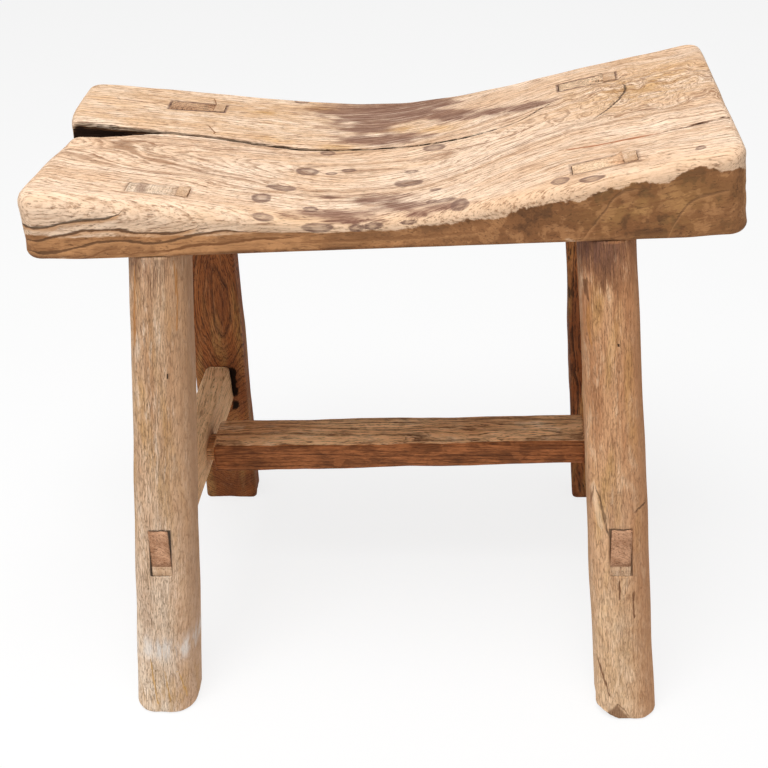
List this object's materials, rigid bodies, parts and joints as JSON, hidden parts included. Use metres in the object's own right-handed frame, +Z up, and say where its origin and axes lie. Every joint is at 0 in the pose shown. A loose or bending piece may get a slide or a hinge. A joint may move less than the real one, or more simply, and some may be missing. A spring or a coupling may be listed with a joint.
{
  "type": "saddle stool",
  "caption": "Wooden saddle stool: a dished slab seat on splayed legs, joined by wedged through tenons and braced by side stretchers and a cross stretcher.",
  "frame": {"origin": "on the floor, under the middle of the seat", "axes": "+X along the seat to its thicker end, +Y to the rear, +Z up"},
  "size_m": [0.5197, 0.3484, 0.4807],
  "materials": {
    "seat_wood": "dry, worn and weathered",
    "leg_wood": "dry and worn, darker inside",
    "stretcher_wood": "dry and worn",
    "wedge_wood": "end grain, dry"
  },
  "bodies": {
    "root": {"seat": "seat_wood", "cross_stretcher": "stretcher_wood", "leg_front_left": "leg_wood", "leg_front_right": "leg_wood", "leg_rear_left": "leg_wood", "leg_rear_right": "leg_wood", "seat_wedge_front_left": "wedge_wood", "seat_wedge_front_right": "wedge_wood", "seat_wedge_rear_left": "wedge_wood", "seat_wedge_rear_right": "wedge_wood", "side_stretcher_left": "stretcher_wood", "side_stretcher_right": "stretcher_wood", "stretcher_wedge_front_left": "wedge_wood", "stretcher_wedge_front_right": "wedge_wood", "stretcher_wedge_rear_left": "wedge_wood", "stretcher_wedge_rear_right": "wedge_wood", "cross_wedge_left": "wedge_wood", "cross_wedge_right": "wedge_wood"}
  },
  "joints": []
}
